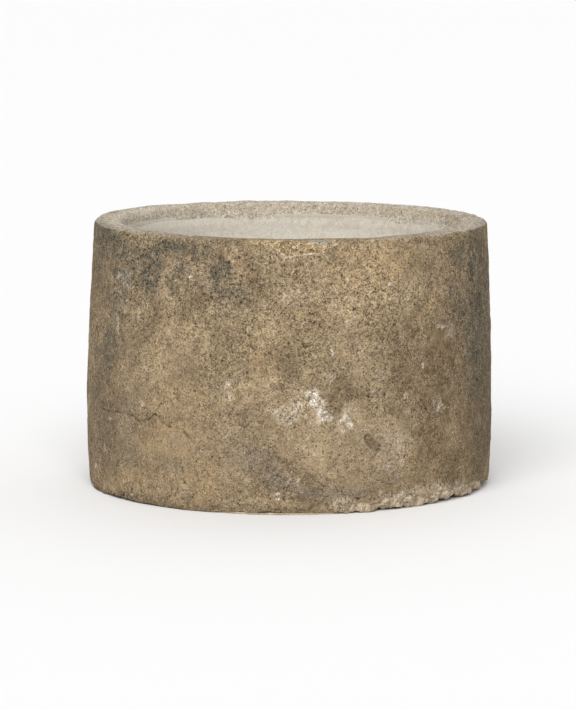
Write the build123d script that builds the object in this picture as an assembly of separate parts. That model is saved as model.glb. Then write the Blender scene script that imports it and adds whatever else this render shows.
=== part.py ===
"""A round limestone trough, hollowed by hand from one block, with a sandy coat in its basin.

Sizes are in millimetres. The origin is the middle of the footprint on the ground, +Z is up, and the front
faces -Y. A bearing is an angle round the trough in degrees, from the front towards +X.
"""

from build123d import *
import math
import os

# The block, as cut
height = 581.0  # ground to rim
rim_diameter = 872.0
shoulder_diameter = 885.0
belly_diameter = 902.0
foot_diameter = 891.0
shoulder_height = 443.0
belly_height = 215.0  # the widest level
rim_shift = 4.0  # how far the rim's centre lies towards +X of the belly's
shoulder_shift = 2.0
foot_shift = 2.0

# The basin
rim_wall = 68.0
belly_wall = 80.0
foot_wall = 114.0  # at the basin's floor
floor_thickness = 108.0
basin_corner = 76.0  # radius where the wall meets the floor

# Worn edges of the block
rim_outer_round = 11.0
rim_inner_round = 19.0
foot_round = 3.5

# The coat in the basin
coat_thickness = 9.0
coat_rim_thickness = 2.5  # what it would thin to at the level of the rim
coat_drop = 24.0  # rim to the coat's top edge

# The patch in the front of the rim
repair_depth = 24.0
repair_recess = 1.2  # how far its face lies behind the stone's
repair_width = 196.0
repair_drop = 38.0  # rim to its lowest point
repair_overrun = 12.0  # how far its cutter stands above the rim
# its lower edge, seen from the front: shares of half its width towards +X, and of its drop
repair_edge = (
    (-1, 0),
    (-0.63, 0.24),
    (-0.32, 0.37),
    (-0.07, 1),
    (0.18, 0.79),
    (0.54, 0.71),
    (0.74, 0.45),
    (1, 0),
)

# The mortar under the foot
bed_thickness = 5.0
bed_inset = 40.0  # how far it stops short of the foot's edge all round
bed_front_gap = 1.0  # how far it stops short at the front, where it shows
bed_front_bearing = -4.0
bed_front_half_width = 27.0  # degrees, where it has fallen back by two thirds

# The crust left in the broken foot edge
crust_thickness = 8.0

# Breaks in the edges, each a shallow scoop: bearing, width along the edge, depth across the corner
crusted_breaks = (
    (19, 96, 9),
    (28, 112, 13),
    (37, 120, 14),
    (46, 118, 13),
    (55, 122, 15),
    (64, 104, 12),
)
foot_breaks = (
    (-84, 58, 4),
    (-60, 66, 2.5),
    (-38, 48, 2),
    (88, 70, 8),
    (112, 96, 9),
    (141, 74, 7),
    (171, 120, 10),
    (-159, 84, 8),
    (-132, 66, 6),
    (-108, 104, 9),
)
rim_breaks = (
    (57, 58, 5),
    (9, 34, 3),
    (-38, 44, 4),
    (101, 72, 5),
    (146, 54, 4),
    (172, 84, 5),
    (-146, 66, 5),
    (-93, 48, 4),
)
break_slope = 45.0  # degrees, how far each scoop tips from level

# How far each level is out of round: waves per turn, size, bearing of a crest
rim_waves = ((2, 2.2, 45), (3, 1.8, 0), (5, 1.0, 36))
belly_waves = ((2, 1.8, 45), (4, 1.1, 22.5))
foot_waves = ((2, 2.4, 135), (3, 1.6, 60), (5, 1.1, 0))
basin_waves = ((2, 3.0, 35), (3, 2.2, 75))
bed_waves = ((3, 6.0, 40), (5, 4.0, 15), (7, 2.5, 33))
ring_points = 24

rim_radius = rim_diameter / 2
shoulder_radius = shoulder_diameter / 2
belly_radius = belly_diameter / 2
foot_radius = foot_diameter / 2
basin_floor = bed_thickness + floor_thickness


def at_bearing(bearing, reach, level, centre_x=0.0):
    """The point at a bearing, a distance from the axis and a level."""
    turn = math.radians(bearing)
    return Vector(centre_x + reach * math.sin(turn), -reach * math.cos(turn), level)


def out_of_round(bearing, waves):
    """How far a ring stands out of its circle at a bearing."""
    return sum(size * math.cos(math.radians(count * (bearing - crest))) for count, size, crest in waves)


def ring(reach_at, level, centre_x=0.0):
    """A closed smooth wire at one level. reach_at gives its distance from the axis at a bearing."""
    bearings = [360.0 * step / ring_points for step in range(ring_points)]
    points = [at_bearing(bearing, reach_at(bearing), level, centre_x) for bearing in bearings]
    return Wire([Edge.make_spline(points, periodic=True)])


def uneven_ring(radius, level, waves, centre_x=0.0):
    return ring(lambda bearing: radius + out_of_round(bearing, waves), level, centre_x)


def top_edges(solid):
    """The closed edges at the solid's highest level, the innermost first."""
    return solid.edges().group_by(Axis.Z)[-1].sort_by(SortBy.LENGTH)


def bottom_edges(solid):
    return solid.edges().group_by(Axis.Z)[0]


def block_form(inset=0.0):
    """The block before it is hollowed or broken, taken in by inset at its side and rim."""
    rings = [
        uneven_ring(foot_radius - inset, bed_thickness, foot_waves, foot_shift),
        uneven_ring(belly_radius - inset, belly_height, belly_waves),
        uneven_ring(shoulder_radius - inset, shoulder_height, belly_waves, shoulder_shift),
        uneven_ring(rim_radius - inset, height - inset, rim_waves, rim_shift),
    ]
    form = Solid.make_loft(rings)
    form = form.fillet(rim_outer_round, top_edges(form))
    return form.fillet(foot_round, bottom_edges(form))


def basin_form(inset=0.0, rim_inset=0.0):
    """The hollow, taken in by inset at its wall and floor, and by rim_inset at its mouth."""
    middle = (basin_floor + height) / 2
    rings = [
        uneven_ring(foot_radius - foot_wall - inset, basin_floor + inset, basin_waves, foot_shift),
        uneven_ring(belly_radius - belly_wall - inset, middle, basin_waves),
        uneven_ring(rim_radius - rim_wall - rim_inset, height, rim_waves, rim_shift),
    ]
    hollow = Solid.make_loft(rings)
    return hollow.fillet(basin_corner - inset, bottom_edges(hollow))


def scoop(corner, bearing, tilt, width, depth, shrink=0.0):
    """A ball that takes a shallow break out of an edge at the corner, tipped up or down by tilt."""
    ball_radius = (width**2 / 4 + depth**2) / (2 * depth)
    slope = math.radians(tilt)
    out = at_bearing(bearing, math.cos(slope), math.sin(slope))
    centre = corner + out * (ball_radius - depth)
    return Pos(*centre) * Sphere(ball_radius - shrink)


def foot_scoops(breaks, shrink=0.0):
    found = []
    for bearing, width, depth in breaks:
        reach = foot_radius + out_of_round(bearing, foot_waves)
        corner = at_bearing(bearing, reach, bed_thickness, foot_shift)
        found.append(scoop(corner, bearing, -break_slope, width, depth, shrink))
    return found


def rim_scoops(breaks):
    found = []
    for bearing, width, depth in breaks:
        worn = rim_outer_round * (1 - math.cos(math.radians(break_slope)))
        reach = rim_radius - worn + out_of_round(bearing, rim_waves)
        corner = at_bearing(bearing, reach, height - worn, rim_shift)
        found.append(scoop(corner, bearing, break_slope, width, depth))
    return found


def repair_pocket():
    """The space cut for the patch: its outline driven in from the front, down to a curved back."""
    half = repair_width / 2
    above = height + repair_overrun
    low = [(rim_shift + half * across, height - repair_drop * down) for across, down in repair_edge]
    corners = [(low[0][0], above), *low, (low[-1][0], above)]
    outline = Wire.make_polygon([Vector(x, -belly_diameter, z) for x, z in corners], close=True)
    driven = Solid.extrude(Face(outline), Vector(0, belly_diameter, 0))
    core = Cylinder(rim_radius - repair_depth, 2 * above)
    return driven - Pos(rim_shift, 0, 0) * core


def trough_block():
    """The stone: hollowed, its mouth rounded, its edges broken, and a pocket cut for the patch."""
    block = (block_form() - basin_form()).solid()
    block = block.fillet(rim_inner_round, top_edges(block)[:1])
    breaks = [*foot_scoops(crusted_breaks), *foot_scoops(foot_breaks), *rim_scoops(rim_breaks)]
    return block - [*breaks, repair_pocket()]


def basin_render():
    """The coat on the basin's wall and floor, which thins towards the rim and stops short of it."""
    lip = height - coat_drop
    below = Pos(0, 0, lip / 2) * Box(belly_diameter, belly_diameter, lip)
    return (basin_form() & below) - basin_form(coat_thickness, coat_rim_thickness)


def rim_repair():
    return block_form(repair_recess) & repair_pocket()


def bedding_mortar():
    """The flat bed under the foot. It reaches the foot's edge only at the front."""

    def reach_at(bearing):
        off = (bearing - bed_front_bearing + 180) % 360 - 180
        nearness = math.exp(-((off / bed_front_half_width) ** 4))
        short = foot_radius - bed_inset + out_of_round(bearing, bed_waves)
        full = foot_radius - bed_front_gap + out_of_round(bearing, foot_waves)
        return short + (full - short) * nearness

    face = Face(ring(reach_at, 0.0, foot_shift))
    return Solid.extrude(face, Vector(0, 0, bed_thickness))


def mortar_crust():
    """What fills the broken foot edge at the right of the front, in an even layer."""
    first, *others = foot_scoops(crusted_breaks)
    filled = block_form() & (first + others)
    return filled - foot_scoops(crusted_breaks, crust_thickness)


def main():
    os.makedirs("parts", exist_ok=True)
    pieces = {
        "trough_block": trough_block(),
        "basin_render": basin_render(),
        "rim_repair": rim_repair(),
        "bedding_mortar": bedding_mortar(),
        "mortar_crust": mortar_crust(),
    }
    for name, piece in pieces.items():
        export_step(piece, f"parts/{name}.step")


main()
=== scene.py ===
"""The looks of the limestone trough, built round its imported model.

Metres, in the model's own frame: +Z up, the front faces -Y. A bearing is an angle round the trough in
radians, from the front towards +X. Where a mark on the stone is placed from the photograph, its place is
given in the photograph's pixels, and the camera turns it into a place on the wall.
"""

import bpy
import math
import numpy as np
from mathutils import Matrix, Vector
from mathutils.bvhtree import BVHTree


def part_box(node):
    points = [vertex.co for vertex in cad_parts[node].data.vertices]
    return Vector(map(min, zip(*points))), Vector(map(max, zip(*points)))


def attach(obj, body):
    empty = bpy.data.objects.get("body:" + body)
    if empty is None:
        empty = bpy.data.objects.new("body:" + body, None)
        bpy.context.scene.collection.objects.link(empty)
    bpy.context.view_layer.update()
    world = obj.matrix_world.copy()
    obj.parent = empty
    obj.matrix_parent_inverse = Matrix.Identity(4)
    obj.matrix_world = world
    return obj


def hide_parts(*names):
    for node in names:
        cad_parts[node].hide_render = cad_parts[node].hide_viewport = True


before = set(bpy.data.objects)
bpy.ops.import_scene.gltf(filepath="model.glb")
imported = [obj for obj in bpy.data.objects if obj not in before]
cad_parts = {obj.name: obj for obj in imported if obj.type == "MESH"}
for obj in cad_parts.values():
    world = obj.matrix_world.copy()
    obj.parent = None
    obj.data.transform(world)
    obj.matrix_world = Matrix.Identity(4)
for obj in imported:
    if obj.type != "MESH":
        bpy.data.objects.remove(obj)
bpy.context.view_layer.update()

# The photograph and its camera
PHOTO_SIZE = (576, 709)
PHOTO_FOCAL = 3626.0  # pixels
SENSOR = 36.0
CAMERA_PLACE = Vector((-0.0015, -8.0, 1.433))
CAMERA_DIP = math.radians(8.2)

# How finely the pieces are meshed
COARSE = 1.0
FRONT_STEP = 0.0023 * COARSE
BACK_STEP = 0.0042 * COARSE
ROW_STEP = 0.0026 * COARSE
FINE_STEP = 0.0016 * COARSE
HIDDEN_STEP = 0.014

# Where the pieces are sampled
BLOCK_LOW, BLOCK_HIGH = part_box("trough_block")
PATCH_LOW, PATCH_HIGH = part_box("rim_repair")
COAT_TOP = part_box("basin_render")[1].z
BED_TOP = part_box("bedding_mortar")[1].z
UNDERSIDE = BLOCK_LOW.z
RIM = BLOCK_HIGH.z
OUT = (BLOCK_HIGH.x - BLOCK_LOW.x) / 2  # radius of a circle round the block
WALL_MIDDLE = 0.403  # radius of a circle inside the wall all the way up
CORE_END = 0.036  # from the rim or the foot to the end of that circle's cylinder
MOUTH = 0.366  # radius of a circle just inside the basin's mouth
REACH = 0.2  # how far outside the core a ray starts
BASIN_BEND = 0.19  # the level where the basin's wall starts to curve into its floor
BASIN_FLAT = 0.25  # radius of its flat floor
FRONT_SIDE = 1.8  # the bearing, to either side, where the front's mesh gives way to the back's
TURN = 2 * math.pi
EASING = 0.022  # the width over which the facets of the CAD mesh are smoothed away

# How unevenly the rim lies
SIDE_LIFT = 0.0035  # how much higher it stands at both sides than at the back
LEFT_LIFT = 0.0018  # how much higher again at the left, and lower at the right
FRONT_LIFT = 0.0020  # how much higher it stands at the front

# How deep the wear is
CRACK_DEPTH = 0.0022
HOLE_DEPTH = 0.004
SCAR_DEPTH = 0.0020
NIBBLE_DEPTH = 0.0035
CHIP_DEPTH = 0.0040
LEFT_HOLLOW = 0.0026  # how far the left side lies back
LIME_HEIGHT = 0.0007

# How the pieces meet
COAT_LIP = 0.0046  # how far the coat's face turns into the stone at its top edge
SKIN = 0.0004  # how far a filling's hidden side lies inside the stone

# How soft and ragged the marks are
BLOT_EDGE = 0.5  # how far in and out a blot's edge fades, in shares of its size
CRACK_DRIFT = 0.45  # these five: how much of a point's drift each kind of mark takes
PATCH_DRIFT = 0.3
FLECK_DRIFT = 0.15
SCAR_DRIFT = 0.12
HOLE_DRIFT = 0.1

# How little all the pieces shine
SPECULAR = 0.14


# Noise

def hashed(ix, iy, iz, seed):
    """An even random number from -1 to 1 for each point of a whole-number lattice."""
    low = 0xFFFFFFFF
    h = (ix * 374761393 + iy * 668265263 + iz * 1440662683 + seed * 362437) & low
    h = ((h ^ (h >> 13)) * 1274126177) & low
    h = ((h ^ (h >> 16)) * 2246822519) & low
    return ((h ^ (h >> 15)) & 0xFFFF) / 32767.5 - 1


def noise(points, size, seed):
    """Smooth noise from -1 to 1 whose lumps are about size across."""
    scaled = points / size + 1000.0
    cell = np.floor(scaled).astype(np.int64)
    f = scaled - cell
    f = f * f * f * (f * (f * 6 - 15) + 10)
    total = 0
    for dx in (0, 1):
        wx = f[..., 0] if dx else 1 - f[..., 0]
        for dy in (0, 1):
            wy = f[..., 1] if dy else 1 - f[..., 1]
            for dz in (0, 1):
                wz = f[..., 2] if dz else 1 - f[..., 2]
                corner = hashed(cell[..., 0] + dx, cell[..., 1] + dy, cell[..., 2] + dz, seed)
                total = total + corner * wx * wy * wz
    return total


def rough(points, size, seed, octaves, keep=0.5):
    """Noise with finer noise added to it, each half as large as the last and keep times as strong."""
    total = 0
    strength = 1.0
    whole = 0.0
    for octave in range(octaves):
        total = total + strength * noise(points, size / 2**octave, seed + 17 * octave)
        whole += strength
        strength *= keep
    return total / whole * 1.6


def cells(points, size, seed):
    """How far the nearest of a scatter of points lies, in sizes, and that point's own random number."""
    scaled = points / size + 1000.0
    cell = np.floor(scaled).astype(np.int64)
    best = np.full(points.shape[:-1], 9.0)
    own = np.zeros(points.shape[:-1])
    for dx in (-1, 0, 1):
        for dy in (-1, 0, 1):
            for dz in (-1, 0, 1):
                c = [cell[..., 0] + dx, cell[..., 1] + dy, cell[..., 2] + dz]
                centre = [c[k] + 0.5 + 0.45 * hashed(*c, seed + k) for k in range(3)]
                far = np.sqrt(sum((scaled[..., k] - centre[k]) ** 2 for k in range(3)))
                nearer = far < best
                best = np.where(nearer, far, best)
                own = np.where(nearer, hashed(*c, seed + 9), own)
    return best, own


def smooth(low, high, value):
    """0 below low, 1 above high, and an even curve between."""
    t = np.clip((value - low) / (high - low), 0, 1)
    return t * t * (3 - 2 * t)


# Rays and grids

def tree_of(node):
    """A search tree over the faces of one of the model's nodes."""
    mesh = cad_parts[node].data
    places = [tuple(v.co) for v in mesh.vertices]
    faces = [list(face.vertices) for face in mesh.polygons]
    return BVHTree.FromPolygons(places, faces)


def flat_ray(towards, core):
    """A ray in the half plane (radius, height) that comes in through towards to core."""
    away = np.subtract(towards, core)
    away = away / np.linalg.norm(away)
    return (*np.add(core, away * REACH), *-away)


def along(start, end, step):
    """Points from start to end in the half plane, about step apart, with the end left out."""
    count = max(2, round(math.dist(start, end) / step))
    return [tuple(np.add(start, np.subtract(end, start) * k / count)) for k in range(count)]


def in_space(rays, bearings):
    """Starts and directions, rows by columns, of half-plane rays turned to each bearing."""
    rays = np.array(rays, float)
    out = np.stack([np.sin(bearings), -np.cos(bearings)], -1)

    def turned(radius, level):
        flat = radius[:, None, None] * out[None]
        high = np.broadcast_to(level[:, None, None], (len(level), len(bearings), 1))
        return np.concatenate([flat, high], -1)

    return turned(rays[:, 0], rays[:, 1]), turned(rays[:, 2], rays[:, 3])


def cast(tree, starts, directions):
    """How far each ray goes before it meets the tree, or nan."""
    shape = starts.shape[:-1]
    found = np.full(shape, np.nan).ravel()
    pairs = zip(starts.reshape(-1, 3).tolist(), directions.reshape(-1, 3).tolist())
    for i, (start, direction) in enumerate(pairs):
        hit = tree.ray_cast(start, direction, REACH * 2)
        if hit[0] is not None:
            found[i] = hit[3]
    return found.reshape(shape)


def bell(reach):
    """Shifts up to twice reach either way, each with its weight. The weights add up to 1."""
    shifts = np.arange(-2 * reach, 2 * reach + 1)
    weights = np.exp(-0.5 * (shifts / reach) ** 2)
    weights /= weights.sum()
    return list(zip(shifts.tolist(), weights))


def eased(far):
    """Distances with the facets of the CAD mesh smoothed away, but not its chips and pockets."""
    reach = max(2, round(EASING / FRONT_STEP))
    total = 0
    for shift, weight in bell(reach):
        total = total + weight * np.roll(far, shift, axis=1)
    keep = smooth(0.0004, 0.0010, np.abs(far - total))
    return total + (far - total) * keep


def normals_of(grid, closed=True):
    """Outward normals of a grid of points, rows by columns. A closed grid runs right round."""
    if closed:
        across = np.roll(grid, -1, axis=1) - np.roll(grid, 1, axis=1)
    else:
        across = np.gradient(grid, axis=1)
    upward = np.gradient(grid, axis=0)
    normal = np.cross(across, upward)
    size = np.linalg.norm(normal, axis=-1, keepdims=True)
    return normal / np.maximum(size, 1e-12)


def new_object(name, places, faces, marks):
    """A mesh object with a value at each point for every named mark."""
    mesh = bpy.data.meshes.new(name)
    mesh.from_pydata(places.tolist(), [], faces)
    mesh.shade_smooth()
    for mark, values in marks.items():
        layer = mesh.attributes.new(mark, "FLOAT", "POINT")
        layer.data.foreach_set("value", np.asarray(values, np.float32).ravel())
    piece = bpy.data.objects.new(name, mesh)
    bpy.context.scene.collection.objects.link(piece)
    return piece


def turned_solid(name, grid, marks):
    """A closed solid from a grid that runs right round: its first and last rows close on the axis."""
    rows, columns = grid.shape[:2]
    ends = [grid[0].mean(0), grid[-1].mean(0)]
    places = np.concatenate([grid.reshape(-1, 3), ends])
    index = np.arange(rows * columns).reshape(rows, columns)
    beside = np.roll(index, -1, axis=1)
    quads = np.stack([index[:-1], beside[:-1], beside[1:], index[1:]], -1).reshape(-1, 4)
    first = rows * columns
    faces = quads.tolist()
    faces += [[first, int(b), int(a)] for a, b in zip(index[0], beside[0])]
    faces += [[first + 1, int(a), int(b)] for a, b in zip(index[-1], beside[-1])]
    full = {}
    for mark, values in marks.items():
        full[mark] = np.concatenate([values.ravel(), [values[0].mean(), values[-1].mean()]])
    return new_object(name, places, faces, full)


def slab(name, outer, inner, mask, marks):
    """A closed solid between two grids, over the cells whose four corners are all in the mask."""
    rows, columns = mask.shape
    index = np.arange(rows * columns).reshape(rows, columns)
    whole = mask[:-1, :-1] & mask[1:, :-1] & mask[:-1, 1:] & mask[1:, 1:]
    below = rows * columns
    faces = []
    edges = {}
    for r, c in zip(*np.nonzero(whole)):
        ring = [int(index[r, c]), int(index[r, c + 1]), int(index[r + 1, c + 1]), int(index[r + 1, c])]
        faces.append(ring)
        faces.append([below + i for i in reversed(ring)])
        for a, b in zip(ring, ring[1:] + ring[:1]):
            if (b, a) in edges:
                del edges[(b, a)]
            else:
                edges[(a, b)] = True
    faces += [[b, a, below + a, below + b] for a, b in edges]
    used = sorted({i for face in faces for i in face})
    renamed = {old: new for new, old in enumerate(used)}
    places = np.concatenate([outer.reshape(-1, 3), inner.reshape(-1, 3)])[used]
    faces = [[renamed[i] for i in face] for face in faces]
    full = {}
    for mark, values in marks.items():
        full[mark] = np.concatenate([values.ravel(), values.ravel()])[used]
    return new_object(name, places, faces, full)


# The camera

def make_camera():
    data = bpy.data.cameras.new("camera")
    data.sensor_width = SENSOR
    data.lens = PHOTO_FOCAL * SENSOR / max(PHOTO_SIZE)
    camera = bpy.data.objects.new("camera", data)
    camera.location = CAMERA_PLACE
    camera.rotation_euler = (math.pi / 2 - CAMERA_DIP, 0, 0)
    bpy.context.scene.collection.objects.link(camera)
    bpy.context.scene.camera = camera


def seen_at(points):
    """The pixels of the photograph, across and down, where these points show."""
    x, y, z = [points[..., k] - CAMERA_PLACE[k] for k in range(3)]
    tip = math.pi / 2 - CAMERA_DIP
    up = math.cos(tip) * y + math.sin(tip) * z
    depth = math.sin(tip) * y - math.cos(tip) * z
    return PHOTO_SIZE[0] / 2 + PHOTO_FOCAL * x / depth, PHOTO_SIZE[1] / 2 - PHOTO_FOCAL * up / depth


class Surface:
    """The points of a piece before they are roughened, with what its marks are placed by."""

    def __init__(self, grid):
        self.points = grid
        self.bearing = np.arctan2(grid[..., 0], -grid[..., 1])
        self.radius = np.hypot(grid[..., 0], grid[..., 1])
        self.level = grid[..., 2]
        self.outside = smooth(WALL_MIDDLE, WALL_MIDDLE + 0.02, self.radius)
        self.front = smooth(1.72, 1.52, np.abs(self.bearing)) * self.outside
        self.x, self.y = seen_at(grid)
        self.drift_x = self.wander(201)
        self.drift_y = self.wander(207)

    def wander(self, seed):
        """How many pixels a mark is moved at each point, which makes its edge ragged."""
        broad = 4.0 * noise(self.points, 0.045, seed)
        medium = 2.2 * noise(self.points, 0.016, seed + 2)
        return broad + medium + noise(self.points, 0.006, seed + 4)

    def blot(self, x, y, wide, high, lean, drift):
        """1 in the middle of an oval blot, falling to 0 across its ragged edge."""
        across = self.x + drift * self.drift_x - x
        down = self.y + drift * self.drift_y - y
        c, s = math.cos(math.radians(lean)), math.sin(math.radians(lean))
        out = np.hypot((across * c + down * s) / wide, (down * c - across * s) / high)
        return smooth(1 + BLOT_EDGE, 1 - BLOT_EDGE, out) * self.front

    def blots(self, table, drift=1.0):
        """All of a table's blots together: x, y, half width, half height, lean, strength."""
        clear = np.ones(self.level.shape)
        for x, y, wide, high, lean, strength in table:
            clear = clear * (1 - strength * self.blot(x, y, wide, high, lean, drift))
        return 1 - clear

    def line(self, route, wide, drift):
        """1 along a line, falling to 0 at wide from it."""
        p = np.stack([self.x + drift * self.drift_x, self.y + drift * self.drift_y], -1)
        near = np.full(self.level.shape, 99.0)
        route = np.array(route, float)
        for a, b in zip(route[:-1], route[1:]):
            run = b - a
            share = np.clip(((p - a) @ run) / (run @ run), 0, 1)
            near = np.minimum(near, np.linalg.norm(p - a - share[..., None] * run, axis=-1))
        return smooth(wide, wide * 0.2, near) * self.front


# Marks on the outside, placed by the photograph's pixels

# Blots: x, y, half width, half height, lean in degrees, strength. A strength below 0 takes away.
SOOT = (
    (106, 231, 13, 14, 20, 0.95), (112, 252, 13, 24, 0, 0.75), (170, 249, 18, 8, -4, 1),
    (150, 272, 13, 28, 0, 0.95), (130, 264, 11, 28, 0, 0.65), (118, 288, 12, 24, 0, 0.65),
    (220, 275, 13, 16, 0, 0.9), (198, 286, 9, 16, 0, 0.5), (232, 294, 24, 10, 0, 0.55),
    (203, 250, 16, 12, 0, 0.55), (176, 275, 7, 22, 0, 0.6), (190, 260, 9, 12, 0, 0.5),
    (108, 352, 9, 24, 8, 0.75), (97, 385, 7, 30, 0, 0.4), (118, 312, 8, 14, 0, 0.45),
    (142, 300, 16, 10, 0, 0.4), (177, 262, 5, 16, 0, 0.5), (478, 300, 12, 74, 0, 0.9),
    (483, 400, 9, 66, 0, 0.45), (456, 302, 8, 24, 0, 0.6), (460, 252, 12, 16, 0, 0.55),
    (470, 355, 9, 50, 0, 0.5), (450, 285, 5, 14, 0, 0.35), (98, 262, 5, 40, 0, 0.45),
)
UMBER = (
    (260, 285, 11, 13, 0, 0.65), (436, 385, 17, 58, 0, 0.8), (390, 335, 6, 14, -20, 0.55),
    (396, 360, 7, 24, 0, 0.55), (412, 362, 9, 34, 0, 0.5), (445, 340, 12, 40, 0, 0.5),
    (222, 365, 13, 15, 0, 0.35), (318, 320, 11, 15, 0, 0.35), (430, 478, 20, 10, 0, 0.35),
    (442, 372, 20, 46, 0, 0.35), (106, 436, 12, 50, 0, 0.3), (402, 400, 12, 22, 0, 0.2),
    (440, 436, 12, 24, 0, -0.25), (455, 468, 16, 20, 0, 0.65), (470, 440, 12, 46, 0, 0.65),
    (425, 425, 11, 30, 0, 0.5), (340, 397, 13, 14, 10, 0.7), (357, 395, 11, 7, 0, 0.65),
    (108, 400, 12, 60, 0, 0.35), (481, 410, 10, 66, 0, 0.65), (448, 372, 5, 40, 0, 0.5),
    (428, 352, 4, 30, 0, 0.4), (461, 340, 4, 50, 0, 0.4), (284, 322, 7, 13, 0, 0.3),
    (248, 262, 10, 13, 0, 0.3), (275, 268, 9, 14, 0, 0.25), (455, 360, 8, 40, 0, 0.4),
    (195, 303, 14, 7, 0, 0.35), (240, 340, 14, 8, 0, 0.25), (165, 426, 9, 6, 0, 0.3),
    (322, 285, 7, 12, -20, 0.25), (300, 350, 24, 8, 0, 0.2), (440, 415, 8, 30, 10, 0.4),
)
SLATE = (
    (117, 420, 18, 27, 0, 0.45), (132, 455, 14, 13, 0, 0.4), (258, 466, 22, 15, 20, 0.6),
    (240, 457, 16, 12, 0, 0.35), (273, 481, 16, 9, 15, 0.7), (302, 488, 26, 6, 4, 0.55),
    (335, 492, 28, 6, 0, 0.65), (365, 488, 18, 5, -10, 0.5), (395, 478, 14, 7, -20, 0.35),
    (170, 462, 12, 8, 0, 0.3), (107, 445, 8, 26, 0, 0.25), (225, 385, 6, 10, 0, 0.25),
    (285, 418, 10, 6, 20, 0.3), (474, 400, 8, 60, 0, 0.2), (230, 440, 18, 10, 0, 0.2),
)
OCHRE = (
    (362, 262, 44, 22, 0, 0.55), (387, 268, 20, 17, 0, 0.6), (345, 287, 20, 18, 0, 0.35),
    (170, 440, 27, 18, 0, 0.7), (150, 452, 18, 14, 0, 0.5), (180, 400, 26, 20, 0, 0.5),
    (206, 420, 8, 22, 0, 0.55), (202, 480, 17, 22, 0, 0.6), (165, 424, 8, 6, 0, 0.7),
    (262, 362, 17, 28, 0, 0.45), (172, 345, 22, 32, 0, 0.4), (425, 308, 8, 24, 0, 0.5),
    (300, 320, 40, 20, 0, 0.25), (420, 470, 18, 20, 0, 0.4), (145, 480, 30, 12, 0, 0.3),
    (474, 385, 14, 60, 0, 0.3), (370, 305, 22, 22, 0, 0.25), (445, 440, 16, 24, 0, 0.35),
    (474, 440, 12, 26, 0, 0.25), (135, 478, 16, 14, 0, 0.3), (135, 445, 14, 20, 0, 0.25),
    (440, 345, 8, 20, 0, 0.4), (135, 305, 6, 12, 0, 0.4), (410, 255, 14, 12, 0, 0.3),
)
PALE = (
    (360, 268, 46, 30, 0, 0.45), (345, 300, 30, 24, 0, 0.35), (400, 298, 17, 16, 0, 0.4),
    (290, 290, 13, 13, 0, 0.35), (350, 320, 18, 14, 0, 0.4), (170, 345, 18, 26, 0, 0.25),
    (168, 440, 26, 17, 0, 0.40), (228, 398, 6, 16, 0, 0.5), (175, 395, 24, 22, 0, 0.35),
    (360, 350, 26, 26, 0, 0.28), (140, 482, 28, 12, 0, 0.3), (175, 485, 24, 14, 0, 0.3),
    (210, 405, 16, 16, 0, 0.2), (330, 340, 18, 10, 0, 0.2), (152, 375, 9, 11, 0, 0.5),
    (208, 342, 7, 11, 0, 0.5), (207, 309, 6, 7, 0, 0.45), (170, 285, 9, 26, 0, 0.4),
    (188, 275, 6, 12, 0, 0.45), (312, 440, 30, 26, 0, 0.4), (332, 462, 26, 14, 0, 0.4),
    (390, 448, 15, 30, 0, 0.45), (350, 424, 15, 13, 0, 0.5), (285, 412, 20, 13, 0, 0.4),
    (376, 426, 11, 11, 0, 0.35), (405, 440, 8, 22, 0, 0.35), (272, 502, 34, 6, 0, 0.4),
    (228, 488, 20, 14, 0, 0.35), (416, 285, 7, 18, 0, 0.4), (236, 262, 7, 16, 0, 0.4),
    (255, 312, 24, 9, 0, 0.3), (440, 490, 30, 7, -15, 0.3), (262, 380, 14, 14, 0, 0.35),
    (345, 440, 42, 22, 0, 0.28), (370, 305, 20, 22, 0, 0.3), (290, 262, 22, 16, 0, 0.22),
    (290, 484, 22, 10, 0, 0.15), (440, 410, 6, 14, 0, 0.4), (452, 330, 6, 18, 0, 0.35),
    (420, 250, 18, 8, 0, 0.3),
)
# lime thick enough to stand out of the stone
LIME_LUMPS = (
    (317, 405, 7, 14, -12, 0.95), (325, 416, 6, 6, 0, 0.6), (311, 395, 6, 5, 0, 0.7),
    (285, 414, 14, 8, 0, 0.34), (297, 405, 8, 8, 0, 0.27), (344, 423, 6, 8, 0, 0.6),
    (350, 410, 6, 5, 0, 0.35),
)
LIME = (
    *LIME_LUMPS,
    (125, 277, 6, 5, 0, 0.25), (345, 502, 12, 5, 0, 0.4), (380, 500, 8, 4, -8, 0.5),
    (398, 498, 10, 4, -10, 0.6), (420, 493, 9, 4, -14, 0.4), (440, 488, 10, 4, -18, 0.5),
    (456, 484, 7, 4, -25, 0.4), (437, 403, 4, 8, 0, 0.4), (390, 283, 3, 3, 0, 0.35),
    (402, 485, 3, 3, 0, 0.4), (127, 287, 3, 4, 0, 0.4), (453, 330, 3, 5, 0, 0.3),
)
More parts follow.
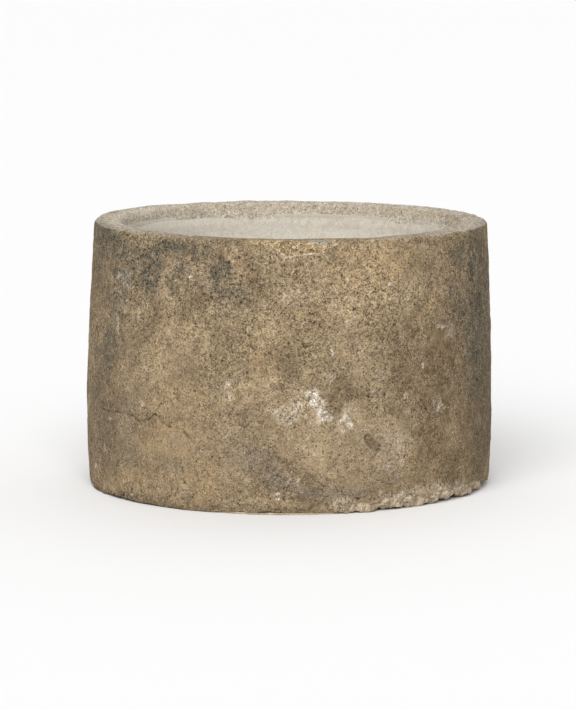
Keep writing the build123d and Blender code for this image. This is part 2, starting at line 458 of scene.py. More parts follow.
# small clear flecks of lime
FLECKS = (
    (188, 270, 1.3, 3.4, 0, 1), (187.5, 277.5, 3.6, 1.2, 0, 1), (254, 241, 4.2, 1.3, 0, 1),
    (331.5, 352.5, 1.9, 3.6, -15, 1), (347.3, 279.8, 1.6, 1.5, 0, 0.7), (346.5, 322, 1.5, 1.8, 0, 0.6),
    (322.5, 248.3, 1.4, 1.1, 0, 1), (287.8, 258.5, 1.6, 1.1, 0, 0.8), (423, 365.5, 1.3, 3, 0, 0.9),
    (372.8, 390.6, 1.9, 1.7, 0, 0.9), (378, 393, 1.1, 1.1, 0, 0.8), (441, 326, 4, 2.4, 0, 0.5),
    (407.5, 299, 3, 1.5, 0, 0.4), (287.7, 480.6, 2, 1.8, 0, 0.9), (298.1, 481.1, 1.6, 1.5, 0, 0.9),
    (277.2, 496.8, 2, 4, 0, 1), (174.4, 436.5, 1.1, 1.1, 0, 0.9), (201.3, 450.3, 1.1, 2.8, 0, 0.7),
    (110.2, 418.4, 1.3, 1.6, 0, 0.6), (142.5, 404, 2, 3, 0, 0.5), (228, 385, 3, 6, 0, 0.35),
    (229.8, 398.4, 2.1, 2.1, 0, 0.7), (95.4, 465, 1.3, 2.8, 0, 0.6), (104.5, 448, 0.9, 4, 0, 0.55),
    (132.5, 494, 2.2, 1.1, 0, 0.6), (380.3, 493, 1.7, 1.7, 0, 0.6), (117.5, 322, 1.1, 12, 0, 0.45),
    (126.5, 301, 2, 1.5, 0, 0.5), (139, 313, 0.9, 8, 0, 0.35), (119, 276, 1.6, 2.4, 0, 0.4),
)
ROSE = (
    (383, 373, 4, 2, 0, 0.6), (331, 378, 5, 3, -25, 0.5), (406, 396, 3, 2.4, 0, 0.6),
    (388, 467, 2.6, 2.6, 0, 0.7), (402, 461, 2.4, 3, 0, 0.6), (398, 440, 3, 6, 0, 0.35),
    (376, 378, 3, 2, 0, 0.4), (398, 474, 2, 4, 20, 0.45), (365, 458, 4, 3, 0, 0.35),
    (408, 411, 4, 3, 0, 0.4), (390, 448, 16, 24, 0, 0.2), (290, 295, 16, 12, 0, 0.15),
)
# where the grain shows more
GRITTY = (
    (135, 262, 24, 40, 0, 0.9), (225, 285, 50, 20, 0, 0.5), (300, 412, 34, 16, 0, 0.7),
    (370, 300, 40, 20, 0, 0.4),
)
# where the grain shows less
EVEN = (
    (168, 442, 34, 20, 0, 0.8), (172, 345, 22, 32, 0, 0.6), (140, 400, 30, 30, 0, 0.6),
    (410, 262, 20, 20, 0, 0.6), (320, 450, 40, 20, 0, 0.3), (105, 300, 10, 90, 0, 0.5),
    (475, 420, 14, 60, 0, 0.4),
)

# Cracks: the route, half width, strength
CRACKS = (
    (((102, 408), (112, 411), (127, 414), (133, 417), (139, 422), (148, 418), (156, 414)), 1.3, 0.7),
    (((156, 414), (162, 421), (168, 428), (176, 427), (183, 429), (187, 436), (191, 441)), 1.2, 0.7),
    (((191, 441), (197, 445), (200, 448), (202, 455)), 1.1, 0.4),
    (((164, 424), (160, 430), (158, 435)), 0.9, 0.45),
    (((160, 417), (165, 424), (170, 429)), 1.0, 0.5),
    (((407.6, 335), (407.4, 350)), 1.0, 0.5),
    (((210.4, 412), (211, 422), (213, 433)), 1.1, 0.4),
    (((240, 422), (245, 427), (250, 423)), 1.3, 0.5),
    (((306, 388), (303, 384), (309, 383), (313, 387)), 0.8, 0.3),
    (((103, 404), (101, 412)), 1.0, 0.5),
    (((111, 403), (112, 407)), 1.1, 0.5),
)

# Small holes: x, y, radius
HOLES = (
    (358.5, 499, 1.3), (385, 394, 1.0), (377, 408, 0.8), (289.5, 418, 0.8), (212, 457, 1.2),
    (184, 483, 1.1), (195, 391, 0.9), (477, 379, 1.2), (464, 315, 0.9), (226, 398, 0.7),
)

# The line along the lower edge of the patch, the dent at the lower right and the dark edge of that dent
PATCH_EDGE = (
    (270, 245), (278, 252), (286, 259), (295, 257), (306, 256.5), (318, 254), (326, 250), (338, 244),
)
SCAR = ((367.8, 437.5), (378.5, 447.8))
SCAR_RIM = ((364.8, 437), (365.2, 441.5), (369.8, 446.8), (376.8, 450.7), (380.3, 449.9))

# The worn foot edge: x, and how many metres higher it stands than the CAD model's
FOOT_LINE = (
    (88, -0.002), (96, -0.004), (104, -0.002), (112, 0), (136, -0.002), (160, -0.002), (180, -0.005),
    (192, -0.008), (205, -0.006), (218, -0.002), (228, 0), (330, 0), (344, -0.002), (352, 0),
    (366, 0.002), (392, 0.004), (424, 0.004), (440, 0.006), (448, 0.008), (472, 0.009), (486, 0.009),
)


# The stone's shape

def stone_rays(step):
    """Rays from under the middle, round the foot, up the wall, over the rim and down into the basin."""
    foot = (WALL_MIDDLE, UNDERSIDE + CORE_END)
    top = (WALL_MIDDLE, RIM - CORE_END)
    rays = [(r, UNDERSIDE - REACH, 0, 1) for r in np.arange(0.03, WALL_MIDDLE, 0.045)]
    corner = along((WALL_MIDDLE, UNDERSIDE), (OUT, UNDERSIDE), step)
    corner += along((OUT, UNDERSIDE), (OUT, foot[1]), step)
    rays += [flat_ray(p, foot) for p in corner]
    rays += [(OUT + REACH / 2, z, -1, 0) for _, z in along((OUT, foot[1]), (OUT, top[1]), step)]
    over = along((OUT, top[1]), (OUT, RIM), step) + along((OUT, RIM), (MOUTH, RIM), step)
    over += along((MOUTH, RIM), (MOUTH, top[1]), step)
    rays += [flat_ray(p, top) for p in over]
    rays += [(BASIN_FLAT, z, 1, 0) for _, z in along((0, top[1]), (0, BASIN_BEND), HIDDEN_STEP)]
    for k in range(9):
        turn = k / 8 * math.pi / 2
        rays.append((BASIN_FLAT, BASIN_BEND, math.cos(turn), -math.sin(turn)))
    rays += [(r, BASIN_BEND, 0, -1) for r in (0.19, 0.13, 0.07, 0.02)]
    return rays


def round_turn(front_step, back_step):
    """Bearings right round, with one step over the front and another over the back."""
    front = np.linspace(-FRONT_SIDE, FRONT_SIDE, round(2 * FRONT_SIDE * OUT / front_step), endpoint=False)
    back = TURN - 2 * FRONT_SIDE
    behind = np.linspace(0, back, round(back * OUT / back_step), endpoint=False) + FRONT_SIDE
    return np.concatenate([front, behind])


def tipped(places):
    """The rim is worn lowest at the back, and its left side is a little higher than its right."""
    across = places[..., 0] / OUT
    front = smooth(0.1, 0.42, -places[..., 1])
    lift = SIDE_LIFT * across**2 - LEFT_LIFT * across + FRONT_LIFT * front
    lift = lift * smooth(0.40, 0.57, places[..., 2])
    return places + lift[..., None] * np.array([0.0, 0.0, 1.0])


def foot_line(s):
    """How much higher the worn foot edge stands at each point than the CAD model's."""
    place, lift = zip(*FOOT_LINE)
    near = smooth(0.035, 0.008, s.level) * smooth(0.36, 0.42, s.radius)
    return np.interp(s.x, place, lift) * near * smooth(1.6, 1.4, np.abs(s.bearing))


def pits(points, size, depth, share, seed):
    """Round pits about size across. share is how many of the possible places hold one."""
    far, own = cells(points, size * 1.7, seed)
    return -depth * smooth(0.34, 0.05, far) * (own > 1 - 2 * share)


def stone_relief(s):
    """How far the stone's surface stands out of the CAD model's, in metres."""
    p = s.points
    relief = 0.0012 * rough(p, 0.16, 11, 2) + 0.0011 * rough(p, 0.05, 23, 3)
    relief += 0.0006 * rough(p, 0.012, 31, 3, 0.65)
    relief += pits(p, 0.008, 0.0018, 0.10, 41) + pits(p, 0.005, 0.0012, 0.22, 43)
    for route, wide, strength in CRACKS:
        relief -= CRACK_DEPTH * strength * s.line(route, wide * 1.4, CRACK_DRIFT)
    for x, y, size in HOLES:
        relief -= HOLE_DEPTH * s.blot(x, y, size, size, 0, HOLE_DRIFT)
    relief -= SCAR_DEPTH * scar(s)
    relief -= LEFT_HOLLOW * smooth(0.6, 0.0, np.abs(s.bearing + 1.5)) * smooth(0.05, 0.15, s.level)
    relief += LIME_HEIGHT * s.blots(LIME_LUMPS) * (0.5 + rough(p, 0.01, 61, 3))
    nibble = smooth(-0.2, 0.6, rough(p * (1, 1, 0.6), 0.024, 71, 3)) * smooth(0.030, 0.006, s.level)
    more_left = 1 + 0.8 * smooth(205, 190, s.x)
    broken = smooth(0.25, 0.32, rough(p, 0.030, 73, 3))
    low = smooth(0.022, 0.012, s.level + 0.004 * rough(p, 0.01, 75, 2))
    chips = more_left * broken * low
    relief -= (NIBBLE_DEPTH * nibble + CHIP_DEPTH * chips) * s.outside
    less_inside = 0.25 + 0.75 * smooth(MOUTH + 0.005, WALL_MIDDLE, s.radius)
    above_underside = smooth(0.0045, 0.0075, s.level)
    return relief * less_inside * above_underside


def scar(s):
    """A shallow finger-shaped dent that leans down to the right."""
    return np.clip(1.8 * s.line(SCAR, 5.0, SCAR_DRIFT), 0, 1)


def scar_rim(s):
    """The dark lower left edge of the dent."""
    return s.line(SCAR_RIM, 1.5, SCAR_DRIFT)


def patch_edge(s):
    """The pale line along the lower edge of the patch in the rim."""
    broken = np.clip(0.7 + 0.8 * rough(s.points, 0.012, 337, 2), 0, 1)
    return s.line(PATCH_EDGE, 1.6, PATCH_DRIFT) * broken


def seeded(s, size, seed, low, high, stretch=0.45):
    """Blotches of the listed kind for the sides that the photograph doesn't show."""
    hidden = 1 - s.front
    return smooth(low, high, rough(s.points * (1, 1, stretch), size, seed, 3)) * hidden


def crack_marks(s):
    """Cracks, small holes and the dark edge of the dent."""
    broken = np.clip(0.8 + 1.1 * rough(s.points, 0.011, 339, 2), 0.15, 1.4)
    crack = 0
    for route, wide, strength in CRACKS:
        crack = np.maximum(crack, strength * broken * s.line(route, wide, CRACK_DRIFT))
    for x, y, size in HOLES:
        crack = np.maximum(crack, 0.9 * s.blot(x, y, size, size, 0, HOLE_DRIFT))
    return np.clip(np.maximum(crack, 0.62 * scar_rim(s)), 0, 1)


def rim_marks(s, mottle):
    """The worn grey top of the rim, the side of it inside the mouth, and a pale wash over both; at the left
    the wash is painted light on the shaded inner rim.
    """
    worn = smooth(RIM - 0.0050, RIM - 0.0015, s.level)
    brown = smooth(0.75, 0.30, np.abs(s.bearing)) * smooth(0.384, 0.396, s.radius)
    worn = worn * (1 - 0.9 * brown)
    near_rim = smooth(0.5, 0.53, s.level)
    inner = smooth(MOUTH + 0.022, MOUTH + 0.008, s.radius) * near_rim
    veil_and_painted_light = inner * smooth(RIM - 0.006, RIM - 0.030, s.level + 0.006 * mottle)
    veil_and_painted_light = veil_and_painted_light + 0.22 * worn * smooth(1.7, 2.4, np.abs(s.bearing))
    # Paler still on the inner rim at the left: painted light, where that side lies in shade.
    left = smooth(-0.9, -1.5, s.bearing) * smooth(-2.6, -1.9, s.bearing) * near_rim
    veil_and_painted_light = veil_and_painted_light + 0.32 * left * smooth(MOUTH + 0.045, MOUTH + 0.02, s.radius)
    return worn, inner, veil_and_painted_light


def stone_marks(s):
    """The named marks from which the stone's material mixes its colour."""
    p = s.points
    broad = rough(p, 0.055, 301, 3)
    mottle = rough(p, 0.018, 303, 3, 0.6)
    streak = rough(p * (1, 1, 0.16), 0.022, 305, 3, 0.6)
    turned = smooth(0.85, 1.35, np.abs(s.bearing))
    ragged = 0.55 + 0.6 * rough(p, 0.014, 307, 3, 0.6)
    high = smooth(0.30, 0.56, s.level)
    below_rim = smooth(0.408, 0.428, s.radius) * smooth(RIM - 0.004, RIM - 0.016, s.level)
    soot = s.blots(SOOT) + seeded(s, 0.10, 311, 0.1, 0.8) * (0.3 + 0.5 * high) * below_rim
    soot = soot * np.clip(ragged + 0.25, 0, 1.15) + 0.22 * turned * smooth(0.0, 0.8, streak)
    umber = s.blots(UMBER) + 0.5 * seeded(s, 0.09, 313, 0.0, 0.8) * below_rim
    umber = umber * np.clip(ragged + 0.3, 0, 1.1) + 0.25 * turned * smooth(0.0, 0.8, -streak)
    slate = s.blots(SLATE) + 0.45 * seeded(s, 0.08, 317, 0.2, 0.8, 1.2) * smooth(0.2, 0.05, s.level)
    ochre = s.blots(OCHRE) + 0.5 * seeded(s, 0.08, 319, 0.0, 0.7)
    pale = s.blots(PALE) + 0.4 * seeded(s, 0.06, 323, 0.1, 0.8)
    worn, inner, veil_and_painted_light = rim_marks(s, mottle)
    lime = s.blots(LIME) + s.blots(FLECKS, FLECK_DRIFT) + 0.6 * seeded(s, 0.03, 329, 0.65, 0.95, 0.8)
    lime = lime + 0.25 * smooth(0.5, 0.9, rough(p, 0.01, 331, 2)) * pale
    lime = lime * (0.8 + 0.5 * rough(p, 0.008, 333, 2)) + 0.7 * patch_edge(s)
    lime = lime + 0.35 * worn * smooth(0.7, 1.2, np.abs(s.bearing))
    lime = lime * (1 - 0.8 * inner)
    grit = 0.85 + 0.35 * smooth(0.20, 0.42, s.level) + 0.35 * rough(p, 0.035, 335, 2)
    grit = grit + 0.55 * s.blots(GRITTY) - 0.3 * s.blots(EVEN)
    grit = (grit + 0.1 + 0.35 * turned) * (1 - 0.5 * inner) * (1 - 0.25 * worn)
    base = smooth(0.022, 0.006, s.level) * s.outside
    # A darker band along the broken foot edge at the front left: painted shade under the broken edge, with
    # some stain. It darkens the umber and soot marks.
    foot_shade_and_stain = smooth(0.019, 0.007, s.level + 0.005 * mottle) * smooth(205, 185, s.x) * s.front
    umber = umber + 0.95 * scar(s) + 0.35 * base * smooth(-0.2, 0.5, mottle) + 0.55 * foot_shade_and_stain
    tone = 0.34 * broad + 0.38 * mottle + 0.18 * streak * turned + 0.9 * pale - 0.25
    return {
        "tone": np.clip(tone, -1, 1),
        "ochre": np.clip(ochre * (0.6 + 0.5 * mottle), 0, 1),
        "soot": np.clip(soot + 0.18 * foot_shade_and_stain, 0, 1),
        "umber": np.clip(umber, 0, 1),
        "slate": np.clip(slate * (0.75 + 0.4 * mottle), 0, 1),
        "lime": np.clip(lime, 0, 1),
        "rose": np.clip(s.blots(ROSE, 0.3), 0, 1),
        "crack": crack_marks(s),
        "worn": np.clip(worn * (0.75 + 0.4 * mottle), 0, 1),
        "inner": inner,
        "veil_and_painted_light": np.clip(veil_and_painted_light, 0, 1),
        "grit": np.clip(grit, 0.4, 1.7),
    }


def build_stone():
    bearings = round_turn(FRONT_STEP, BACK_STEP)
    starts, directions = in_space(stone_rays(ROW_STEP), bearings)
    far = eased(cast(tree_of("trough_block"), starts, directions))
    grid = starts + directions * far[..., None]
    s = Surface(grid)
    places = tipped(grid + normals_of(grid) * stone_relief(s)[..., None])
    ragged = 0.0020 * rough(grid, 0.045, 81, 2) + 0.0020 * rough(grid, 0.011, 83, 3, 0.7)
    places[..., 2] += ragged * smooth(0.022, 0.007, s.level) * s.outside + foot_line(s)
    clear_of_ground = 0.0012
    places[..., 2] = np.maximum(places[..., 2], clear_of_ground)
    piece = turned_solid("stone", places, stone_marks(s))
    dress(piece, "trough_block", limestone())


# The coat in the basin

def build_coat():
    bearings = round_turn(BACK_STEP * 1.6, FRONT_STEP * 1.2)
    lip = COAT_TOP
    first = lip - 0.0006
    wall = [(BASIN_FLAT, z, 1, 0) for _, z in along((0, first), (0, BASIN_BEND), ROW_STEP * 1.5)]
    turns = [k * math.pi / 20 for k in range(11)]
    bend = [(BASIN_FLAT, BASIN_BEND, math.cos(turn), -math.sin(turn)) for turn in turns]
    floor = [(r, BASIN_BEND, 0, -1) for r in (0.22, 0.17, 0.12, 0.07, 0.02)]
    back = [(BASIN_FLAT, z, 1, 0) for z in (BASIN_BEND, 0.27, 0.36, 0.44, 0.51, lip - 0.008, first)]
    starts, directions = in_space(wall + bend + floor, bearings)
    far = eased(cast(tree_of("basin_render"), starts, directions))
    turned_in = COAT_LIP * smooth(lip - 0.026, lip - 0.002, starts[..., 2])
    face = starts + directions * (far + turned_in)[..., None]
    starts, directions = in_space([*reversed(floor), *reversed(bend[1:]), *back], bearings)
    far = eased(cast(tree_of("trough_block"), starts, directions))
    behind = starts + directions * far[..., None]
    top = np.array([behind[-1] + (face[0] - behind[-1]) * share for share in (0.25, 0.75)])
    top[..., 2] = lip
    grid = np.concatenate([behind, top, face])
    s = Surface(grid)
    p = s.points
    relief = 0.0012 * rough(p, 0.09, 401, 2) + 0.0005 * rough(p, 0.02, 403, 3)
    relief = relief + pits(p, 0.006, 0.0012, 0.08, 405)
    # no relief on the hidden side and the top edge
    shown = np.zeros(grid.shape[:2])
    shown[len(behind) + 4:] = 1
    places = tipped(grid + normals_of(grid) * (relief * shown)[..., None])
    mottle = rough(p, 0.03, 411, 3)
    fine = rough(p, 0.008, 413, 2)
    upper = smooth(lip - 0.042, lip - 0.010, s.level + 0.014 * mottle + 0.008 * fine)
    # The upper stain is left off at the left: painted light on the inner wall there, which lies in shade.
    upper = upper * (0.15 + 0.85 * smooth(0.5, 1.5, np.abs(s.bearing + 1.9)))
    marks = {
        "stain": np.clip(upper * (0.85 + 0.5 * fine) + 0.2 * smooth(0.2, 0.9, mottle), 0, 1),
        "deep": smooth(0.42, 0.15, s.level),
        "tone": np.clip(0.5 * mottle + 0.4 * fine, -1, 1),
    }
    piece = turned_solid("coat", places, marks)
    dress(piece, "basin_render", sandy_coat())


# The patch in the rim

def blurred(values, cells_across):
    """The grid softened over about so many of its cells."""
    reach = max(1, round(cells_across))
    for axis in (0, 1):
        size = values.shape[axis]
        total = 0
        for shift, weight in bell(reach):
            shifted = np.clip(np.arange(size) + shift, 0, size - 1)
            total = total + weight * np.take(values, shifted, axis)
        values = total
    return values


def layer_on_stone(node, rays, bearings, seed, margin):
    """Where a filling shows among the stone: its rays, face, the stone behind it, mask and nearness."""
    starts, directions = in_space(rays, bearings)
    own = cast(tree_of(node), starts, directions)
    stone = cast(tree_of("trough_block"), starts, directions)
    filled = np.nan_to_num(own, nan=9.0) < stone - 0.0002
    soft = blurred(filled.astype(float), 1.5 * FRONT_STEP / FINE_STEP)
    near = blurred(filled.astype(float), margin / FINE_STEP)
    face = np.where(filled, own, stone)
    ragged = 0.10 * rough(starts + directions * face[..., None], 0.012, seed, 3)
    inside = near + ragged
    mask = (inside > 0.12) | (soft > 0.02)
    face = blurred(face, 0.002 / FINE_STEP)
    return starts, directions, face, stone, mask, near


def build_patch():
    core = (WALL_MIDDLE, RIM - CORE_END)
    half = math.asin(PATCH_HIGH.x / OUT) + 0.06
    bearings = np.linspace(-half, half, round(2 * half * OUT / FINE_STEP))
    levels = along((0, PATCH_LOW.z - 0.012), (0, core[1]), FINE_STEP)
    rays = [(WALL_MIDDLE + REACH, z, -1, 0) for _, z in levels]
    over = along((OUT, core[1]), (OUT, RIM), FINE_STEP) + along((OUT, RIM), (WALL_MIDDLE, RIM), FINE_STEP)
    rays += [flat_ray(p, core) for p in over]
    starts, directions, far, behind, mask, near = layer_on_stone("rim_repair", rays, bearings, 501, 0.004)
    grid = starts + directions * far[..., None]
    s = Surface(grid)
    p = s.points
    relief = 0.0011 * rough(p, 0.05, 23, 3) + 0.0016 * (near - 0.3)
    grain = 0.0010 * rough(p, 0.009, 511, 3, 0.7) + pits(p, 0.006, 0.0022, 0.25, 513)
    relief += grain * smooth(0.2, 0.8, near)
    lump = s.blot(334, 245, 5, 5, 0, PATCH_DRIFT)
    hollow = s.blot(322, 244, 8, 4, 0, PATCH_DRIFT)
    relief += 0.0030 * lump - 0.001 * hollow
    places = tipped(grid + normals_of(grid, False) * relief[..., None])
    inner = tipped(starts + directions * (behind + SKIN)[..., None])
    mottle = rough(p, 0.012, 521, 3, 0.6)
    top = smooth(RIM - 0.0055, RIM - 0.0025, s.level)
    worn = top * smooth(0.396, 0.384, s.radius) + s.blot(321, 242, 8, 3.5, 0, PATCH_DRIFT)
    umber = s.blot(334, 246, 5, 4.5, 0, 0.4) * 0.7 + 0.35 * smooth(0.2, 0.8, -mottle)
    marks = {
        "tone": np.clip(mottle, -1, 1),
        "worn": np.clip(worn, 0, 1),
        "edge": patch_edge(s),
        "umber": np.clip(umber, 0, 1),
    }
    piece = slab("patch", places, inner, mask, marks)
    dress(piece, "rim_repair", coarse_mortar())


# The crust in the broken foot edge

def build_crust():
    low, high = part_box("mortar_crust")
    foot = (WALL_MIDDLE, UNDERSIDE + CORE_END)
    spare = 0.12
    first = math.atan2(low.x, -low.y) - spare
    last = math.atan2(high.x, -high.y) + spare
    bearings = np.linspace(first, last, round((last - first) * OUT / FINE_STEP))
    corner = along((WALL_MIDDLE + 0.012, UNDERSIDE), (OUT, UNDERSIDE), FINE_STEP)
    corner += along((OUT, UNDERSIDE), (OUT, foot[1]), FINE_STEP)
    rays = [flat_ray(p, foot) for p in corner]
    starts, directions, far, behind, mask, near = layer_on_stone("mortar_crust", rays, bearings, 601, 0.006)
    grid = starts + directions * far[..., None]
    s = Surface(grid)
    p = s.points
    lumps = rough(p, 0.016, 611, 4, 0.65)
    heaps = rough(p, 0.034, 615, 2)
    shards, _ = cells(p + 0.003 * noise(p, 0.008, 619)[..., None], 0.013, 621)
    crumbs = 0.0036 * lumps + 0.0048 * heaps + 0.006 * (0.55 - shards)
    relief = crumbs * smooth(0.1, 0.6, near) + 0.0014 * (near - 0.3)
    relief += pits(p, 0.014, 0.008, 0.3, 613) * smooth(0.2, 0.7, near)
    places = grid + normals_of(grid, False) * relief[..., None]
    places[..., 2] -= 0.0030 * smooth(-0.2, 0.8, heaps + 0.6 * lumps) * smooth(0.014, 0.006, s.level)
    places[..., 2] += foot_line(s)
    clear_of_ground = 0.0010
    places[..., 2] = np.maximum(places[..., 2], clear_of_ground)
    inner = starts + directions * (behind + SKIN)[..., None]
    soil = smooth(-0.1, 0.6, rough(p, 0.016, 617, 3)) + smooth(0.5, 0.2, near)
    # The tone follows the lumps and shards of the relief: lighter on raised shards, darker in the hollows
    # between them. This is painted shade in the hollows, over the mortar's own mixed colour.
    marks = {
        "tone": np.clip(0.7 * lumps + 1.2 * (0.5 - shards), -1, 1),
        "soil": np.clip(soil, 0, 1),
    }
    piece = slab("crust", places, inner, mask, marks)
    dress(piece, "mortar_crust", crumbling_mortar())


# The bed under the foot

def build_bed():
    bearings = round_turn(FRONT_STEP, BACK_STEP)
    starts, directions = in_space([(OUT + REACH / 2, BED_TOP / 2, -1, 0)], bearings)
    far = cast(tree_of("bedding_mortar"), starts, directions)
    edge = (starts + directions * far[..., None])[0]
    edge[:, 2] = 0
    out = edge / np.linalg.norm(edge, axis=-1, keepdims=True)
    ragged = 0.0016 * rough(edge, 0.018, 701, 3, 0.6)[:, None]
    thin = 0.0010 + 0.0004 * rough(edge, 0.03, 703, 2)[:, None]
    # how far out of the edge each ring lies, its level, and whether the bed is thinner there
    rings = [(-0.30, 0, 0), (-0.12, 0, 0), (-0.02, 0, 0), (-0.0015, 0, 0)]
    rings += [(-0.0004, 0.001, 0), (0, 0.0022, 0), (-0.0006, BED_TOP, 1), (-0.006, BED_TOP, 1)]
    rings += [(-0.016, BED_TOP, 0), (-0.12, BED_TOP, 0), (-0.30, BED_TOP, 0)]
    up = np.array([[0.0, 0.0, 1.0]])
    grid = [edge + out * (beyond + ragged) + up * (level - thin * less) for beyond, level, less in rings]
    grid = np.array(grid)
    marks = {"tone": np.clip(rough(grid, 0.02, 711, 3), -1, 1)}
    piece = turned_solid("bed", grid, marks)
    dress(piece, "bedding_mortar", thin_mortar())


# Materials

class Recipe:
    """A material's nodes, added one after another."""

    def __init__(self, name):
        self.material = bpy.data.materials.new(name)
        self.material.use_nodes = True
        self.tree = self.material.node_tree
        self.shader = self.tree.nodes["Principled BSDF"]
        self.where = self.tree.nodes.new("ShaderNodeTexCoord").outputs["Object"]

    def feed(self, socket, value):
        """Links another node's output to the socket, or sets the socket to a colour or a number."""
        if isinstance(value, bpy.types.NodeSocket):
            self.tree.links.new(value, socket)
        elif isinstance(value, tuple):
            socket.default_value = (*value, 1)
        else:
            socket.default_value = value

    def mark(self, name):
        """The value of one of the piece's marks."""
        node = self.tree.nodes.new("ShaderNodeAttribute")
        node.attribute_name = name
        return node.outputs["Fac"]

    def maths(self, operation, a, b):
        node = self.tree.nodes.new("ShaderNodeMath")
        node.operation = operation
        self.feed(node.inputs[0], a)
        self.feed(node.inputs[1], b)
        return node.outputs[0]

    def fit(self, value, low, high, to_low=0.0, to_high=1.0):
        """The value with the range from low to high stretched to the range from to_low to to_high."""
        node = self.tree.nodes.new("ShaderNodeMapRange")
        self.feed(node.inputs["Value"], value)
        names = ("From Min", "From Max", "To Min", "To Max")
        for name, number in zip(names, (low, high, to_low, to_high)):
            node.inputs[name].default_value = number
        return node.outputs["Result"]

    def mix(self, factor, a, b):
        """Colour a where the factor is 0, and b where it is 1."""
        node = self.tree.nodes.new("ShaderNodeMix")
        node.data_type = "RGBA"
        factor_socket, colour_a, colour_b = node.inputs["Factor"], node.inputs[6], node.inputs[7]
        self.feed(factor_socket, factor)
        self.feed(colour_a, a)
        self.feed(colour_b, b)
        return node.outputs[2]

    def toned(self, dark, light):
        """From the dark colour to the light one by the piece's tone, which runs from -1 to 1."""
        return self.mix(self.fit(self.mark("tone"), -1, 1), dark, light)

    def stained(self, colour, mark, strength, stain):
        """The colour with a stain over it where the mark is."""
        factor = self.mark(mark)
        if strength < 1:
            factor = self.maths("MULTIPLY", factor, strength)
        return self.mix(factor, colour, stain)

    def noise(self, scale, detail, roughness):
        node = self.tree.nodes.new("ShaderNodeTexNoise")
        node.inputs["Scale"].default_value = scale
        node.inputs["Detail"].default_value = detail
        node.inputs["Roughness"].default_value = roughness
        self.feed(node.inputs["Vector"], self.where)
        return node.outputs["Fac"]

    def spots(self, scale, size, share):
        """1 in small round spots. share is how many of the possible places hold one."""
        node = self.tree.nodes.new("ShaderNodeTexVoronoi")
        node.inputs["Scale"].default_value = scale
        self.feed(node.inputs["Vector"], self.where)
        split = self.tree.nodes.new("ShaderNodeSeparateColor")
        self.feed(split.inputs[0], node.outputs["Color"])
        near = self.fit(node.outputs["Distance"], size, size * 0.5)
        chosen = self.maths("GREATER_THAN", split.outputs[0], 1 - share)
        return self.maths("MULTIPLY", near, chosen)

    def scaled(self, colour, value):
        """The colour times a value."""
        node = self.tree.nodes.new("ShaderNodeVectorMath")
        node.operation = "SCALE"
        self.feed(node.inputs[0], colour)
        self.feed(node.inputs["Scale"], value)
        return node.outputs[0]

    def finish(self, colour, roughness, height, depth):
        """Joins everything to the shader. depth is how deep the finest relief is, in metres."""
        self.feed(self.shader.inputs["Base Color"], colour)
        self.feed(self.shader.inputs["Roughness"], roughness)
        self.shader.inputs["Specular IOR Level"].default_value = SPECULAR
        bump = self.tree.nodes.new("ShaderNodeBump")
        bump.inputs["Distance"].default_value = depth
        self.feed(bump.inputs["Height"], height)
        self.feed(self.shader.inputs["Normal"], bump.outputs[0])
        return self.material


def limestone():
    r = Recipe("limestone")
    colour = r.toned((0.190, 0.136, 0.080), (0.53, 0.400, 0.245))
    colour = r.stained(colour, "ochre", 0.55, (0.47, 0.315, 0.150))
    colour = r.stained(colour, "slate", 0.85, (0.205, 0.175, 0.140))
    # Umber also carries painted shade along the broken foot edge at the front left.
    colour = r.stained(colour, "umber", 0.8, (0.165, 0.114, 0.062))
    colour = r.stained(colour, "inner", 0.85, (0.60, 0.52, 0.405))
    colour = r.stained(colour, "worn", 0.8, (0.49, 0.425, 0.335))
    # A pale wash at the inner rim, which at the left is painted light where the rim lies in shade.
    colour = r.stained(colour, "veil_and_painted_light", 1, (0.83, 0.745, 0.625))
    # Soot also carries a little painted shade along the broken foot edge at the front left.
    colour = r.stained(colour, "soot", 0.88, (0.110, 0.098, 0.072))
    colour = r.stained(colour, "rose", 1, (0.54, 0.41, 0.345))
    fine = r.noise(270.0, 4.0, 0.85)
    medium = r.noise(115.0, 3.0, 0.7)
    flaky = r.fit(medium, 0.35, 0.62, 0.25, 1.0)
    colour = r.mix(r.maths("MULTIPLY", r.mark("lime"), flaky), colour, (0.88, 0.80, 0.68))
    grain = r.maths("ADD", r.fit(fine, 0.34, 0.66, -0.60, 0.60), r.fit(medium, 0.34, 0.66, -0.28, 0.28))
    grain = r.maths("MULTIPLY", grain, r.mark("grit"))
    grain = r.fit(grain, -1.2, 1.2, -0.16, 1.72)
    pits = r.spots(240.0, 0.48, 0.20)
    grain = r.maths("MULTIPLY", grain, r.fit(pits, 0, 1, 1.08, 0.40))
    colour = r.scaled(colour, grain)
    flecks = r.maths("MULTIPLY", r.spots(300.0, 0.45, 0.14), 0.5)
    colour = r.mix(flecks, colour, (0.70, 0.60, 0.45))
    colour = r.stained(colour, "crack", 1, (0.045, 0.036, 0.026))
    height = r.maths("SUBTRACT", r.maths("ADD", fine, medium), r.maths("MULTIPLY", pits, 0.5))
    return r.finish(colour, r.fit(fine, 0.3, 0.7, 0.98, 0.86), height, 0.0013)


def sandy_coat():
    r = Recipe("basin_render")
    colour = r.toned((0.66, 0.612, 0.532), (0.79, 0.745, 0.662))
    # The stain is left off at the left of the upper coat, which paints light there.
    colour = r.stained(colour, "stain", 0.55, (0.50, 0.44, 0.35))
    colour = r.stained(colour, "deep", 0.5, (0.42, 0.36, 0.28))
    fine = r.noise(420.0, 4.0, 0.8)
    medium = r.noise(110.0, 3.0, 0.6)
    pits = r.spots(300.0, 0.40, 0.10)
    grain = r.maths("ADD", r.fit(fine, 0.34, 0.66, 0.78, 1.14), r.fit(medium, 0.34, 0.66, -0.05, 0.05))
    grain = r.maths("MULTIPLY", grain, r.fit(pits, 0, 1, 1.0, 0.6))
    colour = r.scaled(colour, grain)
    return r.finish(colour, r.fit(fine, 0.3, 0.7, 0.97, 0.88), fine, 0.0007)


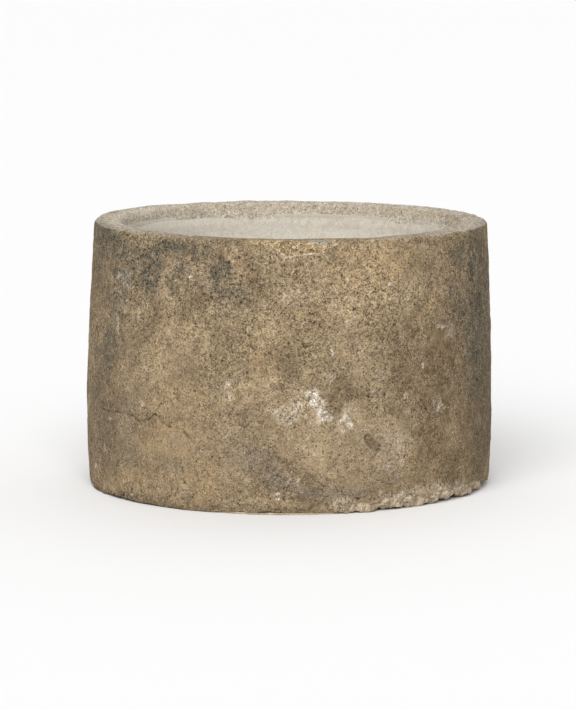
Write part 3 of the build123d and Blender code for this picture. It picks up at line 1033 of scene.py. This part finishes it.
def coarse_mortar():
    r = Recipe("repair_mortar")
    colour = r.toned((0.25, 0.175, 0.092), (0.54, 0.400, 0.228))
    colour = r.stained(colour, "umber", 1, (0.20, 0.135, 0.075))
    colour = r.stained(colour, "edge", 0.75, (0.66, 0.56, 0.43))
    colour = r.stained(colour, "worn", 1, (0.40, 0.35, 0.285))
    fine = r.noise(270.0, 4.0, 0.85)
    pits = r.spots(230.0, 0.45, 0.25)
    medium = r.noise(130.0, 3.0, 0.7)
    grain = r.maths("MULTIPLY", r.fit(fine, 0.34, 0.66, 0.15, 1.7), r.fit(medium, 0.36, 0.64, 0.70, 1.30))
    grain = r.maths("MULTIPLY", grain, r.fit(pits, 0, 1, 1.0, 0.35))
    colour = r.scaled(colour, grain)
    bits = r.maths("MULTIPLY", r.spots(215.0, 0.48, 0.22), 0.8)
    colour = r.mix(bits, colour, (0.86, 0.76, 0.60))
    height = r.maths("SUBTRACT", fine, r.maths("MULTIPLY", pits, 0.5))
    return r.finish(colour, r.fit(fine, 0.3, 0.7, 0.98, 0.86), height, 0.0016)


def crumbling_mortar():
    r = Recipe("crust_mortar")
    # The dark end of the tone is partly painted shade in the crust's hollows.
    colour = r.toned((0.24, 0.165, 0.092), (0.82, 0.705, 0.535))
    colour = r.stained(colour, "soil", 0.6, (0.33, 0.24, 0.145))
    fine = r.noise(260.0, 4.0, 0.85)
    pits = r.spots(200.0, 0.45, 0.22)
    grain = r.maths("MULTIPLY", r.fit(fine, 0.34, 0.66, 0.45, 1.35), r.fit(pits, 0, 1, 1.0, 0.4))
    height = r.maths("SUBTRACT", fine, r.maths("MULTIPLY", pits, 0.5))
    return r.finish(r.scaled(colour, grain), r.fit(fine, 0.3, 0.7, 0.98, 0.86), height, 0.0018)


def thin_mortar():
    r = Recipe("bedding_mortar")
    colour = r.toned((0.34, 0.27, 0.18), (0.60, 0.50, 0.37))
    fine = r.noise(300.0, 4.0, 0.8)
    colour = r.scaled(colour, r.fit(fine, 0.34, 0.66, 0.5, 1.3))
    return r.finish(colour, r.fit(fine, 0.3, 0.7, 0.98, 0.88), fine, 0.0008)


def dress(piece, node, material):
    """The piece stands for its CAD node and takes its finish."""
    piece.data.materials.append(material)
    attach(piece, "root")
    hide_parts(node)


# Floor and light

def make_floor():
    material = bpy.data.materials.new("floor")
    material.use_nodes = True
    shader = material.node_tree.nodes["Principled BSDF"]
    shader.inputs["Base Color"].default_value = (0.92, 0.92, 0.92, 1)
    shader.inputs["Roughness"].default_value = 0.95
    mesh = bpy.data.meshes.new("floor")
    far = 60.0
    mesh.from_pydata([(-far, -far, 0), (far, -far, 0), (far, far, 0), (-far, far, 0)], [], [(0, 1, 2, 3)])
    floor = bpy.data.objects.new("floor", mesh)
    bpy.context.scene.collection.objects.link(floor)
    mesh.materials.append(material)


def make_sun(name, power, azimuth, elevation, softness):
    """A soft light from a direction: azimuth 0 is the front, and 90 is from +X."""
    data = bpy.data.lights.new(name, "SUN")
    data.energy = power
    data.angle = math.radians(softness)
    light = bpy.data.objects.new(name, data)
    a, e = math.radians(azimuth), math.radians(elevation)
    towards = Vector((math.sin(a) * math.cos(e), -math.cos(a) * math.cos(e), math.sin(e)))
    light.rotation_euler = towards.to_track_quat("Z", "Y").to_euler()
    bpy.context.scene.collection.objects.link(light)


def make_lights():
    world = bpy.data.worlds.new("studio")
    world.use_nodes = True
    background = world.node_tree.nodes["Background"]
    background.inputs["Color"].default_value = (1, 1, 1, 1)
    background.inputs["Strength"].default_value = 0.45
    bpy.context.scene.world = world
    make_sun("key", power=2.4, azimuth=-10, elevation=42, softness=50)
    make_sun("fill", power=0.5, azimuth=170, elevation=50, softness=60)
    bpy.context.scene.view_settings.view_transform = "Standard"


make_camera()
make_floor()
make_lights()
build_stone()
build_coat()
build_patch()
build_crust()
build_bed()
